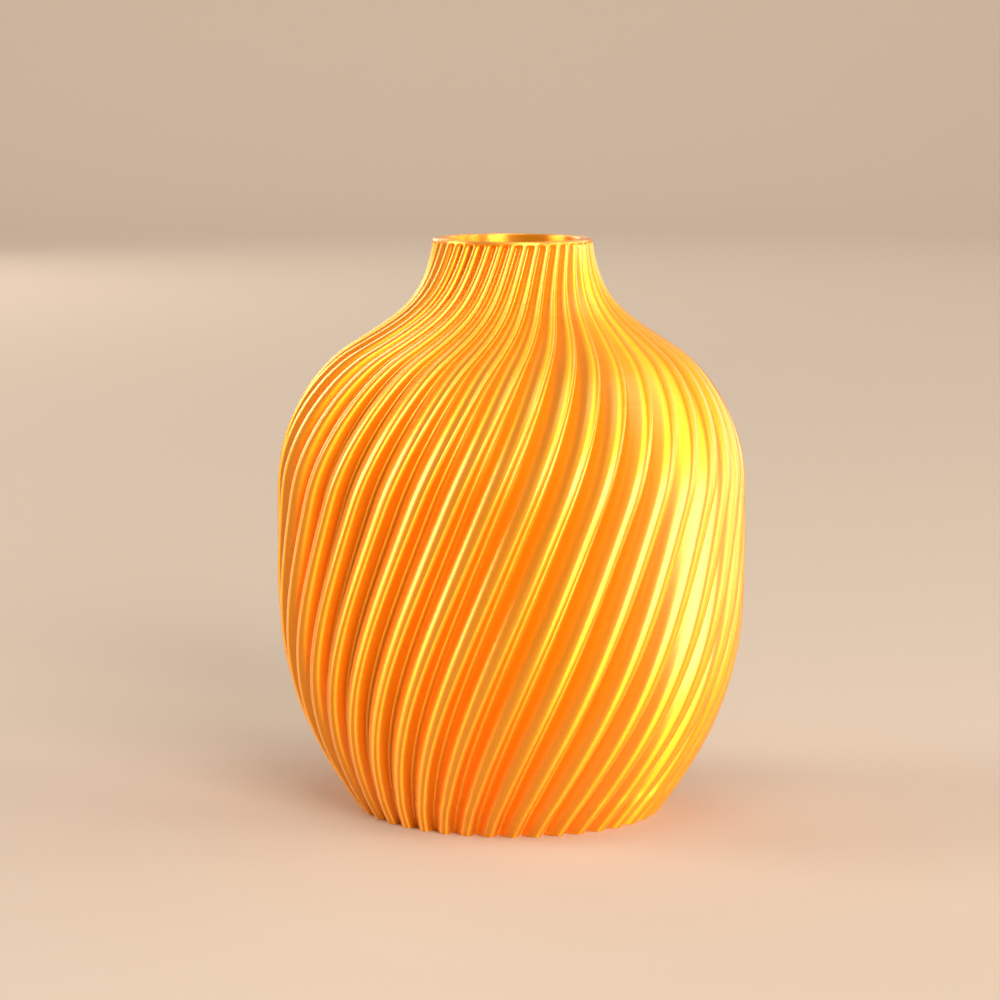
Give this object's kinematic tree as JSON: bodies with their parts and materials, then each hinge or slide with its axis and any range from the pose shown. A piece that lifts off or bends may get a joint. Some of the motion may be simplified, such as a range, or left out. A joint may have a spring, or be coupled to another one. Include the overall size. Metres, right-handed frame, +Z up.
{
  "type": "vase",
  "caption": "Free-standing printed vase with a wide belly, a narrow open neck, a solid floor and twisted sawtooth flutes that climb from the foot to a plain round lip.",
  "frame": {"origin": "centre of the foot, on the surface the vase stands on", "axes": "+Z up along the vase's axis; the flutes turn anticlockwise seen from above as they climb"},
  "size_m": [0.1474, 0.1474, 0.18],
  "materials": {
    "silk_plastic": "golden orange silk PLA, printed in fine layers, pearly sheen"
  },
  "bodies": {
    "root": {"vase_body": "silk_plastic"}
  },
  "joints": []
}
